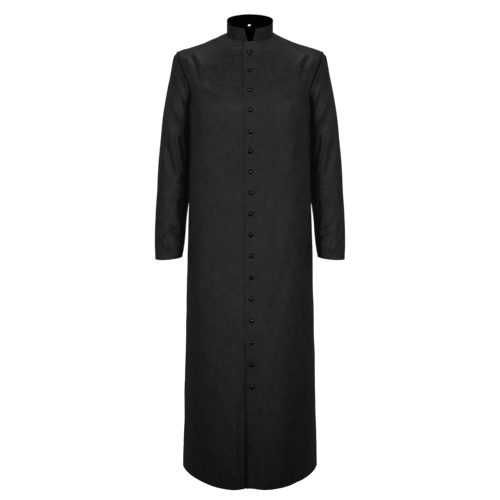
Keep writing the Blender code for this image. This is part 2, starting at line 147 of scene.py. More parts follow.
# Creases: soft ridges and troughs along a bend through three places, seen from the front or the back.
# height: above the cloth, below it where negative. The ends fade over this share of the length.
CREASE_FADE = 0.28
CREASE_SPREAD = 1.6
CREASE_STEPS = 12
CREASE_REACH = 3
CREASE_COLUMNS = ("face", "x0", "z0", "x1", "z1", "x2", "z2", "half_width", "height")
SLEEVE_CREASES = (
    ("front", 232, -116, 214, -176, 186, -257, 5.6, -5.8),
    ("front", 224, -108, 206, -166, 187, -236, 5.0, 3.6),
    ("front", 244, -146, 226, -212, 198, -280, 7.5, 3.6),
    ("front", 206, -104, 195, -150, 186, -206, 4.6, -4.2),
    ("front", 200, -92, 190, -140, 184, -188, 3.6, 2.6),
    ("front", 238, -268, 227, -368, 210, -448, 5.4, 4.6),
    ("front", 221, -290, 214, -356, 196, -428, 5.0, 4.2),
    ("front", 229, -296, 221, -362, 204, -426, 4.6, -4.4),
    ("front", 249, -322, 240, -392, 218, -438, 6.6, -5.0),
    ("front", 210, -290, 203, -348, 192, -404, 4.6, -5.4),
    ("front", 262, -300, 262, -370, 252, -430, 10, 2.6),
    ("front", 252, -196, 248, -258, 242, -306, 9, 2.8),
    ("front", 256, -250, 254, -300, 250, -350, 5, -2.4),
    ("front", 212, -488, 209, -532, 208, -576, 14, -4.4),
    ("front", 216, -462, 252, -520, 224, -586, 7, 3.0),
    ("front", 232, -452, 226, -466, 214, -476, 5, 2.2),
    ("front", 248, -574, 230, -588, 209, -598, 4.2, -5.0),
    ("front", 260, -588, 240, -600, 214, -607, 4.6, 4.0),
    ("front", 270, -598, 258, -626, 243, -656, 6, 4.0),
    ("front", 252, -612, 240, -634, 228, -664, 6, -3.4),
    ("front", 276, -430, 274, -490, 268, -548, 10, -2.4),
    ("front", 276, -560, 272, -590, 262, -618, 6, -2.4),
    ("back", 242, -124, 224, -186, 199, -262, 6, -5.0),
    ("back", 228, -132, 214, -194, 196, -246, 5.5, 3.6),
    ("back", 254, -206, 238, -268, 206, -318, 7, 3.8),
    ("back", 254, -292, 238, -350, 212, -408, 6, 4.2),
    ("back", 264, -330, 246, -371, 214, -392, 5, -4.4),
    ("back", 272, -402, 248, -430, 212, -444, 5, -5.2),
    ("back", 276, -424, 252, -452, 214, -464, 5.5, 4.0),
    ("back", 274, -462, 250, -484, 218, -492, 5, -4.4),
    ("back", 277, -500, 254, -516, 226, -520, 6, 3.4),
    ("back", 268, -560, 252, -606, 244, -650, 8, -3.2),
    ("back", 240, -552, 226, -600, 224, -640, 7, 2.8),
)
BODY_CREASES = (
    ("front", -172, -56, -153, -86, -128, -122, 9, 5.0),
    ("front", -176, -66, -160, -98, -145, -156, 6.5, -5.4),
    ("front", -188, -72, -180, -90, -168, -112, 6, 3.0),
    ("front", -178, -118, -170, -158, -163, -200, 7, -3.0),
    ("front", -152, -124, -110, -164, -54, -196, 20, 3.2),
    ("front", -146, -168, -116, -196, -70, -216, 18, -2.4),
    ("front", 170, -57, 151, -88, 126, -122, 9, 4.8),
    ("front", 175, -67, 159, -99, 144, -154, 6.5, -5.2),
    ("front", 189, -73, 181, -90, 169, -114, 6, 2.9),
    ("front", 177, -116, 171, -156, 162, -196, 7, -2.9),
    ("front", 150, -122, 108, -166, 54, -197, 20, 3.1),
    ("front", 147, -170, 118, -198, 72, -218, 18, -2.4),
    ("front", -54, -30, -40, -34, -25, -32, 2.6, -3.0),
    ("front", -56, -43, -41, -47, -26, -44, 4.0, -2.4),
    ("front", 24, -32, 40, -34, 55, -30, 2.6, -2.8),
    ("front", 27, -45, 43, -47, 58, -42, 4.0, -2.3),
    ("front", -160, -206, -132, -246, -92, -288, 13, 1.1),
    ("front", 162, -210, 136, -252, 98, -296, 13, 1.0),
    ("front", -148, -300, -139, -420, -136, -560, 15, -1.2),
    ("front", 150, -320, 141, -440, 139, -590, 15, -1.1),
    ("front", -96, -360, -88, -520, -92, -700, 16, 0.9),
    ("front", 84, -390, 92, -560, 90, -760, 16, 0.9),
    ("front", -158, -640, -160, -900, -168, -1290, 17, 1.2),
    ("front", 160, -690, 163, -930, 170, -1295, 17, 1.1),
    ("front", -66, -820, -70, -1050, -76, -1300, 15, -0.9),
    ("front", 70, -860, 74, -1080, 78, -1300, 15, -0.8),
    ("front", -46, -1120, -44, -1200, -48, -1300, 6.5, 2.6),
    ("front", -30, -1060, -29, -1190, -30, -1330, 8, -2.6),
    ("front", 13, -1030, 15, -1160, 18, -1310, 9, 2.2),
    ("front", 34, -1080, 36, -1200, 40, -1330, 8, -3.4),
    ("back", -122, -78, -112, -152, -118, -246, 14, 2.0),
    ("back", 120, -84, 114, -160, 122, -252, 13, 1.8),
    ("back", -180, -168, -160, -216, -126, -272, 9, -2.4),
    ("back", 181, -178, 158, -228, 128, -276, 9, -2.2),
    ("back", -44, -22, -4, -30, 40, -21, 8, 1.4),
    ("back", -60, -46, 0, -56, 56, -47, 9, -1.2),
    ("back", -136, -428, -66, -446, 8, -438, 10, 1.4),
    ("back", 18, -470, 82, -480, 144, -460, 10, 1.3),
    ("back", -104, -500, -36, -514, 44, -504, 12, -1.3),
    ("back", -92, -600, -96, -860, -104, -1280, 14, -2.0),
    ("back", 98, -640, 101, -900, 110, -1290, 14, -2.0),
    ("back", 30, -700, 34, -960, 38, -1290, 13, 1.8),
    ("back", -28, -720, -30, -960, -36, -1290, 13, 1.7),
)

# How the other sleeve's creases differ. Each row is a shift in mm, then its change by crease and by place.
UNEVEN_SHIFT = {"x": (2.4, 2.1, 1.0), "z": (7.0, 1.3, 0.7)}
UNEVEN_HEIGHT = {"middle": 0.92, "change": 0.16, "by_crease": 3.7}

# The stiffened strip down the front, which lies flatter than the cloth beside it
STRIP = {"half_width": 52.0, "rise": 3.6, "bow": 2.3, "fall_over": 30.0}
STRIP_Z = {"low": -900.0, "high": -140.0, "low_fade": 200.0, "high_fade": 100.0}

# Slow unevenness of the cloth, as waves. wide and tall: their lengths. A sleeve has a share of it.
WAVE_COLUMNS = ("wide", "tall", "turn", "height")
WAVE_ROUND = 0.8
SLEEVE_WAVES = 0.7
WAVES = (
    (148.0, 310.0, 0.4, 0.40),
    (-96.0, 205.0, 1.9, 0.34),
    (71.0, -163.0, 3.1, 0.26),
    (-52.0, -119.0, 5.2, 0.20),
    (39.0, 74.0, 2.3, 0.13),
)

# Seams: how the cloth dips and puckers beside one. at: the distance from the edge.
SEAM_DIP = {"height": -0.7, "at": 0.0, "width": 2.6}
PUCKER = {"height": 0.28, "length": 11.0, "at": 2.0, "reach": 7.0, "wander": 1.7, "wander_length": 37.0}
SEAM_PHASE = {"neck": 0.3, "side": 1.1, "armhole": 0.9}
NECK_SEAM_SHARE = 0.6
ARMHOLE_RIDGE = {"height": 1.5, "at": 3.5, "width": 2.6}
ARMHOLE_VALLEY = {"height": -2.4, "at": 11.0, "width": 5.0}
ARMHOLE_ROLL = {"at_back": 0.25, "spread": 1.5}
ARMHOLE_HOLLOW = {"height": -1.7, "at": 7.0, "width": 5.0}
HOLLOW_ENDS = {"above": 14.0, "below": 8.0, "top_fade": 24.0, "bottom_fade": 30.0}
HEAD_FADE = 12.0
TURN_UP = {"thickness": 1.0, "line": 0.25, "line_width": 1.6, "fade": 1.5}
HEM_TURN_UP, CUFF_TURN_UP = 38.0, 30.0

# The seam allowance that reaches under the piece across a seam. gap: how far below that piece's inner
# side it lies. clear, hem_clear and fade: how it stops short of the back's corners. underarm: where the
# sleeve's own begins, as a share of the sleeve's width.
ALLOWANCE = {"gap": 0.9, "width": 2.5, "thickness": 0.8, "back": 1.0}
ALLOWANCE_ENDS = {"clear": 4.0, "hem_clear": 3.0, "fade": 3.0, "underarm": 0.1, "underarm_fade": 0.2}

# The underarm, where sleeve and body lie close: neither has relief there. held, held_at_hole and fade are
# shares of the sleeve's width.
UNDERARM = {"held": 0.03, "held_at_hole": 0.12, "hole_end": 20.0, "hole_fade": 40.0, "fade": 0.17}
UNDERARM_BODY = {"from_y": 8.0, "fade": 42.0}
UNDERARM_Z = {"low": -460.0, "high": -215.0, "low_fade": 50.0, "high_fade": 50.0}

# How far the sleeve is drawn in to the body under the arm, and along which stretch
SNUG = {"by": 3.2, "power": 4}
SNUG_ALONG = {"low": 0.0, "high": 80.0, "low_fade": 6.0, "high_fade": 30.0}

# How finely the cloth is sampled. An edge is rounded through these distances from it.
EDGE_STEPS = np.array((0.0, 0.12, 0.35, 0.8, 1.6, 2.8, 4.5, 7.0, 10.0))
SLEEVE_HEAD_STEP = 4.5
SHOULDER_ROWS, ARMHOLE_ROWS, SKIRT_ROWS = 26, 52, 150
LAP_COLUMNS, FRONT_COLUMNS, BACK_COLUMNS = 12, 56, 130
SLEEVE_ROWS, SLEEVE_HALF_COLUMNS = 190, 52
COLLAR_ROWS, COLLAR_COLUMNS = 16, 200
ROW_SAMPLES = 60

# Steps for measuring a direction on the body, and how often a search is halved
SMALL_TURN, SMALL_DROP = 0.01, 1.0
HALVINGS = 40

# The lap's edge, and how it stands off the panel under it below the last button
LAP_BEAD = {"height": 1.2, "at": 1.5, "width": 1.7}
LAP_GROOVE = {"height": -0.6, "at": 6.0, "width": 1.2}
LAP_OPENS = {"from_z": -1075.0, "over": 90.0, "width": 36.0, "lift": 2.0, "bead": 0.9}
UNDER_LAP_HOLLOW = {"height": -2.6, "at": 0.2, "width": 2.0}
UNDER_LAP_RIDGE = {"height": 0.5, "at": 6.0, "width": 2.6}

# The collar's relief: slow waves, the ridge and stitched groove by its edge, and a dent on each side of the
# notch. turn: a dent's way round from the front. up and over: shares of the band's height. drop: how far
# the inner side reaches down behind the neck seam. corner: the least angle that is shown sharp.
COLLAR_WAVE = {"height": 0.35, "count": 3.0, "phase": 0.8}
COLLAR_RIDGE = {"height": 0.45, "at": 1.6, "width": 1.4}
COLLAR_GROOVE = {"height": -0.5, "at": 4.2, "width": 0.9}
COLLAR_DENT = {"depth": 1.4, "turn": 0.55, "up": 0.4, "half_width": 11.0, "half_height": 9.0}
DENT_BAND = {"radius": 65.0, "height": 37.0}
COLLAR_LIP = {"drop": 7.0, "over": 0.16}
COLLAR_CORNER = 50.0

# Stitching and buttonholes. arch and sunk: how a stitch rises from the cloth and how deep its ends lie.
STITCH = {"pitch": 3.1, "length": 2.3, "radius": 0.24, "start": 1.0, "places": 4, "arch": 0.22, "sunk": 0.06}
THREAD_TIP = {"from": 0.35, "short": 0.3, "power": 0.5}
LAP_STITCHES = {"margin": 4.0, "samples": 700}
COLLAR_STITCHES = {"sunk": 0.3, "samples": 500}
BUTTONHOLE = {"length": 21.0, "width": 2.9, "thread": 0.55, "past_button": 3.0}
BUTTONHOLE_RINGS = {"spreads": (1.0, 0.62), "above": 0.12, "places": 44, "sides": 8}

# Buttons: the radius and the height of each ring of the turned profile
BUTTON_RINGS = (
    (0.0, 0.25), (5.6, 0.25), (6.6, 0.05), (7.05, 0.35), (7.25, 0.9), (7.1, 1.45), (6.75, 1.75), (6.55, 1.8),
    (6.35, 2.05), (5.9, 2.7), (5.1, 3.4), (4.0, 4.05), (2.7, 4.45), (1.3, 4.65), (0.0, 4.7),
)
BUTTON_COUNT = 17
BUTTON_SIDES = 40

# Surroundings
STAGE = {"radius": 9.0, "floor_z": -1.47}

# Lights: name, kind, place, target, size and power. A spot's size is its radius and its cone's angle.
LIGHTS = (
    ("front", "SPOT", (0.0, -3.1, 0.15), (0.0, 0.0, -0.27), (0.22, 50.0), 57.0),
    ("front_left", "SPOT", (2.05, -2.35, 0.1), (0.0, 0.0, -0.27), (0.25, 50.0), 70.0),
    ("front_right", "SPOT", (-2.05, -2.35, 0.1), (0.0, 0.0, -0.27), (0.25, 50.0), 70.0),
    ("behind", "SPOT", (0.0, 3.1, 0.4), (0.0, 0.0, -0.45), (0.3, 56.0), 130.0),
    ("top", "AREA", (0.0, 0.1, 1.7), (0.0, 0.0, 0.0), (1.5, 0.7), 8.0),
    ("side_left", "AREA", (-3.0, 0.8, 0.3), (0.0, 0.0, -0.5), (0.5, 1.4), 3.0),
    ("side_right", "AREA", (3.0, 0.8, 0.3), (0.0, 0.0, -0.5), (0.5, 1.4), 3.0),
)
WORLD_LIGHT = 0.05

# Camera, at the photograph's angle
CAMERA = {"y": -2.9, "z": -0.2724, "pitch": 7.488, "lens": 68.472, "sensor": 36.0}


def smooth(columns, rows, name, at):
    """Reads a table's column as a smooth curve through its rows, at any place along its first column."""
    table = np.array(rows, dtype=float)
    places, values = table[:, 0], table[:, columns.index(name)]
    slopes = np.gradient(values, places)
    at = np.clip(np.asarray(at, dtype=float), places[0], places[-1])
    low = np.clip(np.searchsorted(places, at, side="right") - 1, 0, len(places) - 2)
    width = places[low + 1] - places[low]
    t = (at - places[low]) / width
    start, end = values[low], values[low + 1]
    start_slope, end_slope = slopes[low] * width, slopes[low + 1] * width
    return (
        (2 * t**3 - 3 * t**2 + 1) * start
        + (t**3 - 2 * t**2 + t) * start_slope
        + (3 * t**2 - 2 * t**3) * end
        + (t**3 - t**2) * end_slope
    )


def ease(t):
    """Goes smoothly from 0 to 1 as t does."""
    t = np.clip(t, 0.0, 1.0)
    return t * t * (3 - 2 * t)


def bell(distance, width):
    return np.exp(-((distance / width) ** 2))


def ridge(distance, height, at, width):
    """A soft ridge at a distance from an edge, or a groove where its height is negative."""
    return height * bell(distance - at, width)


def within(value, low, high, low_fade, high_fade):
    """1 in a range and 0 outside it, changing smoothly just inside its two ends."""
    return ease((value - low) / low_fade) * ease((high - value) / high_fade)


def faced(facing, face, spread):
    """1 on the face that a fold belongs to, 0 on the other. facing: 1 straight ahead, -1 straight behind."""
    return ease(spread * (facing if face == "front" else -facing))


def ahead_and_behind(angle):
    """How much an angle faces the front and how much the back."""
    return np.clip(np.cos(angle), 0, None), np.clip(-np.cos(angle), 0, None)


def unit(vectors):
    return vectors / np.linalg.norm(vectors, axis=-1, keepdims=True)


def turns(count):
    """The directions of so many points round a circle."""
    return np.linspace(0, 2 * math.pi, count + 1)[:-1]


def flutes(x, z, facing):
    """How far the skirt's folds stand out at a place. facing: 1 straight ahead, -1 straight behind."""
    total = np.zeros_like(x)
    for row in FLUTES:
        flute = dict(zip(FLUTE_COLUMNS, row))
        grown = ease((flute["top_z"] - z) / (flute["top_z"] - HEM_Z))
        middle = flute["x"] * (FLUTE_START + (1 - FLUTE_START) * grown)
        shape = ridge(x, flute["depth"], middle, flute["half_width"]) * grown
        total = total + shape * faced(facing, flute["face"], FLUTE_SPREAD)
    return total


def body(down, angle):
    """A place on the body's outside. angle: 0 at the centre front, a right angle at the wearer's left."""
    down, angle = np.broadcast_arrays(np.asarray(down, dtype=float), np.asarray(angle, dtype=float))
    column = {name: smooth(BODY_COLUMNS, BODY, name, down) for name in BODY_COLUMNS[1:]}
    ahead, behind = ahead_and_behind(angle)
    power = column["power"]
    radius = (np.abs(np.sin(angle)) ** power + np.abs(np.cos(angle)) ** power) ** (-1 / power)
    x = column["side_x"] * radius * np.sin(angle)
    y = radius * (column["front_y"] * ahead + column["back_y"] * behind)
    z = (
        column["side_z"]
        + (column["front_z"] - column["side_z"]) * ahead ** column["ridge"]
        + (column["back_z"] - column["side_z"]) * behind ** column["ridge"]
    )
    y = y - np.sign(np.cos(angle)) * flutes(x, z, np.cos(angle))
    return np.stack([x, y, z], axis=-1)


def angle_at(down, x):
    """The angle near the front at which the body is x from the centre line."""
    low, high = np.full_like(down, -math.pi / 2), np.full_like(down, math.pi / 2)
    for _ in range(HALVINGS):
        middle = (low + high) / 2
        beyond = body(down, middle)[..., 0] > x
        low, high = np.where(beyond, low, middle), np.where(beyond, middle, high)
    return (low + high) / 2


def armhole_angle(down, face):
    """How far a panel reaches round at each height, from its own centre line, in radians."""
    t = np.clip((down - SHOULDER_DOWN) / (ARMPIT_DOWN - SHOULDER_DOWN), 0, 1)
    return math.pi / 2 - math.radians(ARMHOLE_TURN[face]) * np.sin(math.pi * t) ** ARMHOLE_ROUNDNESS


def lap_edge(down):
    return LAP_EDGE_X["neck"] + (LAP_EDGE_X["hem"] - LAP_EDGE_X["neck"]) * down / HEM_DOWN


def seam_turn(down, side_angle):
    """Half a seam's gap at the side, as an angle."""
    across = body(down, side_angle + SMALL_TURN) - body(down, side_angle - SMALL_TURN)
    return SEAM_GAP / 2 / (np.linalg.norm(across, axis=-1) / (2 * SMALL_TURN))


def body_rows():
    """The heights of the panels' rows, closer together at the neck and the hem."""
    steps = EDGE_STEPS
    turn = np.linspace(0, math.pi, ARMHOLE_ROWS + 1)
    return np.concatenate(
        [
            steps[:-1],
            np.linspace(steps[-1], SHOULDER_DOWN, SHOULDER_ROWS + 1)[:-1],
            SHOULDER_DOWN + (ARMPIT_DOWN - SHOULDER_DOWN) * (1 - np.cos(turn)) / 2,
            np.linspace(ARMPIT_DOWN, HEM_DOWN - steps[-1], SKIRT_ROWS + 1)[1:],
            HEM_DOWN - steps[-2::-1],
        ]
    )


def between(low, high, down, count, fine_low, fine_high):
    """Angles from low to high on each row, closer together at the ends that are edges."""
    samples = low[:, None] + (high - low)[:, None] * np.linspace(0, 1, ROW_SAMPLES)
    line = body(down[:, None], samples)
    width = np.linalg.norm(np.diff(line, axis=1), axis=-1).sum(axis=1)[:, None]
    steps = EDGE_STEPS[None, :]
    start = steps[:, :-1] if fine_low else np.zeros((1, 0))
    end = steps[:, -2::-1] if fine_high else np.zeros((1, 0))
    first = steps[0, -1] if fine_low else 0.0
    last = steps[0, -1] if fine_high else 0.0
    middle = first + (width - first - last) * np.linspace(0, 1, count + 1)
    places = np.concatenate([start + 0 * width, middle, width - end], axis=1)
    return low[:, None] + (high - low)[:, None] * places / width


def unevenness(points):
    total = np.zeros(points.shape[:-1])
    for row in WAVES:
        wave = dict(zip(WAVE_COLUMNS, row))
        around = points[..., 0] + WAVE_ROUND * points[..., 1]
        phase = 2 * math.pi * (around / wave["wide"] + points[..., 2] / wave["tall"]) + wave["turn"]
        total = total + wave["height"] * np.sin(phase)
    return total


def creases(points, facing, rows):
    """How far the creases of a table stand out. facing: 1 straight ahead, -1 straight behind."""
    x, z = points[..., 0], points[..., 2]
    total = np.zeros_like(x)
    t = np.linspace(0, 1, CREASE_STEPS + 1)
    weights = np.stack([(1 - t) * (1 - 2 * t), 4 * t * (1 - t), t * (2 * t - 1)])
    for row in rows:
        crease = dict(zip(CREASE_COLUMNS, row))
        path_x = np.array([crease["x0"], crease["x1"], crease["x2"]]) @ weights
        path_z = np.array([crease["z0"], crease["z1"], crease["z2"]]) @ weights
        reach = CREASE_REACH * crease["half_width"]
        near = (x > path_x.min() - reach) & (x < path_x.max() + reach)
        near &= (z > path_z.min() - reach) & (z < path_z.max() + reach)
        px, pz = x[near], z[near]
        best = np.full(px.shape, np.inf)
        place = np.zeros(px.shape)
        for k in range(len(t) - 1):
            run, drop = path_x[k + 1] - path_x[k], path_z[k + 1] - path_z[k]
            along = np.clip(((px - path_x[k]) * run + (pz - path_z[k]) * drop) / (run**2 + drop**2), 0, 1)
            away = (px - path_x[k] - along * run) ** 2 + (pz - path_z[k] - along * drop) ** 2
            place = np.where(away < best, (k + along) / (len(t) - 1), place)
            best = np.minimum(best, away)
        ends = within(place, 0, 1, CREASE_FADE, CREASE_FADE)
        height = crease["height"] * np.exp(-best / crease["half_width"] ** 2)
        total[near] += height * ends * faced(facing[near], crease["face"], CREASE_SPREAD)
    return total


def strip_relief(points, facing):
    """The stiffened front lies flat to its edge and then turns down to the cloth beside it."""
    across = np.abs(points[..., 0])
    inside = np.clip(across / STRIP["half_width"], 0, 1) ** STRIP["bow"]
    shape = STRIP["rise"] * inside * (1 - ease((across - STRIP["half_width"]) / STRIP["fall_over"]))
    return shape * within(points[..., 2], **STRIP_Z) * faced(facing, "front", CREASE_SPREAD)


def distances(grid, axis):
    """How far each point of a grid lies from the grid's first edge along an axis."""
    step = np.linalg.norm(np.diff(grid, axis=axis), axis=-1)
    total = np.cumsum(step, axis=axis)
    return np.insert(total, 0, 0.0, axis=axis)


def seam_relief(from_edge, along_edge, phase):
    """The dip and the small puckers beside a seam."""
    wander = PUCKER["wander"] * np.sin(along_edge / PUCKER["wander_length"])
    ripple = np.sin(2 * math.pi * along_edge / PUCKER["length"] + phase + wander)
    pucker = PUCKER["height"] * ripple * bell(from_edge - PUCKER["at"], PUCKER["reach"])
    return ridge(from_edge, **SEAM_DIP) + pucker


def lap_relief(from_edge, base, node):
    """The bead and the stitched groove by the top lap's edge, or the hollow in the panel under it."""
    if node == "front_left":
        below = ease((LAP_OPENS["from_z"] - base[..., 2]) / LAP_OPENS["over"])
        below = below * ease(1 - from_edge / LAP_OPENS["width"])
        bead = ridge(from_edge, **LAP_BEAD) * (1 + LAP_OPENS["bead"] * below)
        return bead + ridge(from_edge, **LAP_GROOVE) + LAP_OPENS["lift"] * below
    edge_x = LAP_EDGE_X["neck"] + (LAP_EDGE_X["hem"] - LAP_EDGE_X["neck"]) * base[..., 2] / HEM_Z
    from_lap = edge_x - base[..., 0]
    return ridge(from_lap, **UNDER_LAP_HOLLOW) + ridge(from_lap, **UNDER_LAP_RIDGE)


def rounding(from_edge, thickness):
    """How far each face of a wall comes in to round the wall's edge off."""
    radius = thickness / 2
    inside = np.clip(radius - from_edge, 0, radius)
    return radius - np.sqrt(radius**2 - inside**2)


def normals(grid, closed):
    """The direction out of a grid of points, rows by columns."""
    along = np.gradient(grid, axis=0)
    around = np.roll(grid, -1, axis=1) - np.roll(grid, 1, axis=1) if closed else np.gradient(grid, axis=1)
    return unit(np.cross(along, around))


def add_mesh(name, points, faces, materials):
    """A smooth piece from points in millimetres."""
    mesh = bpy.data.meshes.new(name)
    mesh.from_pydata((np.asarray(points) * MM).tolist(), [], faces)
    for material in materials:
        mesh.materials.append(material)
    mesh.shade_smooth()
    thing = bpy.data.objects.new(name, mesh)
    bpy.context.scene.collection.objects.link(thing)
    return thing


def add_shell(name, outer, inner, flat, materials, closed=False):
    """A closed shell between two grids in millimetres, with the cloth's flat places in metres as its UVs."""
    rows, columns = outer.shape[:2]
    count = rows * columns
    index = np.arange(count).reshape(rows, columns)
    if closed:
        index = np.concatenate([index, index[:, :1]], axis=1)
    quads = np.stack([index[:-1, :-1], index[1:, :-1], index[1:, 1:], index[:-1, 1:]], axis=-1)
    quads = quads.reshape(-1, 4)
    rims = [(index[0, 1:], index[0, :-1]), (index[-1, :-1], index[-1, 1:])]
    if not closed:
        rims += [(index[:-1, 0], index[1:, 0]), (index[1:, -1], index[:-1, -1])]
    rim = np.concatenate([np.stack([b, a, a + count, b + count], axis=-1) for a, b in rims])
    faces = np.concatenate([quads, quads[:, ::-1] + count, rim])
    points = np.concatenate([outer.reshape(-1, 3), inner.reshape(-1, 3)])
    corners = points[faces]
    volume = (corners[:, 0] * np.cross(corners[:, 1] - corners[:, 0], corners[:, 2] - corners[:, 0])).sum()
    if volume < 0:
        faces = faces[:, ::-1]
    thing = add_mesh(name, points, faces.tolist(), materials)
    mesh = thing.data
    slots = np.zeros(len(faces), dtype=np.int32)
    slots[len(quads) : 2 * len(quads)] = len(materials) - 1
    mesh.polygons.foreach_set("material_index", slots)
    layer = mesh.uv_layers.new(name="cut")
    loops = np.zeros(len(mesh.loops), dtype=np.int32)
    mesh.loops.foreach_get("vertex_index", loops)
    places = np.concatenate([flat.reshape(-1, 2)] * 2) * MM
    layer.data.foreach_set("uv", places[loops].astype(np.float32).ravel())
    return thing


def allowance(inner, raised, out, depth, share):
    """Bends the inner side's first rows into an allowance. The grids' first axis leads away from the seam."""
    places = ((0.0, 0.0), (-ALLOWANCE["width"], 0.0), (-ALLOWANCE["width"], 1.0), (ALLOWANCE["back"], 1.0))
    into = unit(raised[len(places)] - raised[0])
    for k, (along, low) in enumerate(places):
        below = depth + ALLOWANCE["gap"] + low * ALLOWANCE["thickness"]
        place = raised[0] - below[:, None] * out[0] + along * into
        inner[k] += share[:, None] * (place - inner[k])


def back_seams(down):
    """Where the back's sides have seam allowances: along the shoulder and below the armpit."""
    clear, fade = ALLOWANCE_ENDS["clear"], ALLOWANCE_ENDS["fade"]
    shoulder = ease((SHOULDER_DOWN - clear - down) / fade)
    side = ease((down - ARMPIT_DOWN - clear) / fade)
    last = HEM_DOWN - ALLOWANCE_ENDS["hem_clear"]
    return np.maximum(shoulder, side) * within(down, clear, last, fade, fade)


def wall(base, relief, edge_distance, extra_inner, closed):
    """A grid raised by its relief, its direction out, its depth, and its two faces with rounded edges."""
    way = -1.0 if closed else 1.0
    raised = base + relief[..., None] * (way * normals(base, closed))
    out = way * normals(raised, closed)
    inset = rounding(edge_distance, CLOTH)[..., None]
    depth = CLOTH + extra_inner
    return raised, out, depth, raised - inset * out, raised - (depth[..., None] - inset) * out


def turn_up(from_edge, height):
    """The relief of a hem's sewing line and the extra thickness of its turned-up cloth."""
    line = ridge(from_edge, -TURN_UP["line"], height, TURN_UP["line_width"])
    return line, TURN_UP["thickness"] * within(from_edge, 0, height, TURN_UP["fade"], TURN_UP["fade"])


def panel(node, down, angle, lift, lap_at, materials):
    """A front or back panel. lap_at: which of its edges is the front's own, first, last or none."""
    rows = down[:, None] + np.zeros_like(angle)
    base = body(rows, angle)
    base = base + lift[..., None] * normals(base, False)
    facing = np.cos(angle)
    first, along = distances(base, 1), distances(base, 0)
    last, hem = first[:, -1:] - first, along[-1:, :] - along
    relief = unevenness(base) + creases(base, facing, BODY_CREASES) + strip_relief(base, facing)
    beside = 1 - ease((np.abs(base[..., 1]) - UNDERARM_BODY["from_y"]) / UNDERARM_BODY["fade"])
    relief = relief * (1 - beside * within(base[..., 2], **UNDERARM_Z))
    hem_line, hem_extra = turn_up(hem, HEM_TURN_UP)
    relief = relief + hem_line + seam_relief(along, first, SEAM_PHASE["neck"]) * NECK_SEAM_SHARE
    top, bottom = SHOULDER_DOWN - HOLLOW_ENDS["above"], ARMPIT_DOWN + HOLLOW_ENDS["below"]
    hole = within(rows, top, bottom, HOLLOW_ENDS["top_fade"], HOLLOW_ENDS["bottom_fade"])
    for edge, from_edge in (("first", first), ("last", last)):
        if edge == lap_at:
            relief = relief + lap_relief(from_edge, base, node)
            continue
        relief = relief + seam_relief(from_edge, along, SEAM_PHASE["side"])
        relief = relief + ridge(from_edge, **ARMHOLE_HOLLOW) * hole
    edge_distance = np.minimum(np.minimum(first, last), np.minimum(along, hem))
    raised, out, depth, outer, inner = wall(base, relief, edge_distance, hem_extra, False)
    if node == "back":
        for step in (1, -1):
            grids = [grid[:, ::step].swapaxes(0, 1) for grid in (inner, raised, out)]
            allowance(*grids, depth[:, ::step][:, 0], back_seams(down))
    return add_shell(f"{node}_cloth", outer, inner, np.stack([first, along], axis=-1), materials)


def front_panel(node, side, materials):
    """side: 1 is the wearer's left, which laps on top."""
    down = body_rows()
    edge = lap_edge(down)
    steps = EDGE_STEPS
    own = edge if side > 0 else edge + LAP_WIDTH
    far_x = side * LAP_END_X
    lap_x = [own + side * step for step in steps[:-1]]
    rest = np.linspace(0, 1, LAP_COLUMNS + 1)
    lap_x += [own + side * steps[-1] + (far_x - own - side * steps[-1]) * share for share in rest]
    near = np.stack([angle_at(down, x) for x in lap_x], axis=1)
    far = side * (armhole_angle(down, "front") - seam_turn(down, math.pi / 2))
    beyond = between(near[:, -1], far, down, FRONT_COLUMNS, False, True)[:, 1:]
    angle = np.concatenate([near, beyond], axis=1)
    if side < 0:
        angle = angle[:, ::-1]
        return panel(node, down, angle, np.zeros_like(angle), "last", materials)
    x = body(down[:, None] + np.zeros_like(angle), angle)[..., 0]
    start = edge[:, None] + LAP_WIDTH
    lift = (CLOTH + LAP_GAP) * ease((LAP_END_X - x) / (LAP_END_X - start))
    return panel(node, down, angle, lift, "first", materials)


def back_panel(node, materials):
    down = body_rows()
    far = armhole_angle(down, "back") - seam_turn(down, math.pi / 2)
    angle = between(math.pi - far, math.pi + far, down, BACK_COLUMNS, True, True)
    return panel(node, down, angle, np.zeros_like(angle), "none", materials)


def armhole_loop():
    """The armhole's edge on the wearer's left, down the front and up the back, moved a gap off the panels."""
    t = (1 - np.cos(np.linspace(0, math.pi, SLEEVE_HALF_COLUMNS + 1))) / 2
    down = SHOULDER_DOWN + (ARMPIT_DOWN - SHOULDER_DOWN) * t
    down = np.concatenate([down, down[-2:0:-1]])
    split = SLEEVE_HALF_COLUMNS + 1
    front, back = armhole_angle(down[:split], "front"), armhole_angle(down[split:], "back")
    turn = np.concatenate([front, math.pi - back])
    loop = body(down, turn)
    step = body(down + SMALL_DROP, turn) - body(down - SMALL_DROP, turn)
    around = body(down, turn + SMALL_TURN) - body(down, turn - SMALL_TURN)
    out = unit(np.cross(step, around))
    along = unit(np.roll(loop, -1, axis=0) - np.roll(loop, 1, axis=0))
    into = np.cross(out, along)
    into = into * np.sign(((loop.mean(axis=0) - loop) * into).sum(axis=-1, keepdims=True))
    return loop + SEAM_GAP * into


def drag_folds(points, facing):
    """How far the sleeve's largest folds stand out of its cloth."""
    x, z = points[..., 0], points[..., 2]
    total = np.zeros_like(x)
    for row in SLEEVE_FOLDS:
        fold = dict(zip(FOLD_COLUMNS, row))
        run, drop = fold["x1"] - fold["x0"], fold["z1"] - fold["z0"]
        length = math.hypot(run, drop)
        along = ((x - fold["x0"]) * run + (z - fold["z0"]) * drop) / length**2
        across = ((x - fold["x0"]) * drop - (z - fold["z0"]) * run) / length
        beyond, over = FOLD_FADE["beyond"], FOLD_FADE["over"]
        ends = within(along, -beyond, 1 + beyond, over, over)
        shape = fold["height"] * bell(across, fold["half_width"])
        total = total + shape * ends * faced(facing, fold["face"], FOLD_SPREAD)
    return total


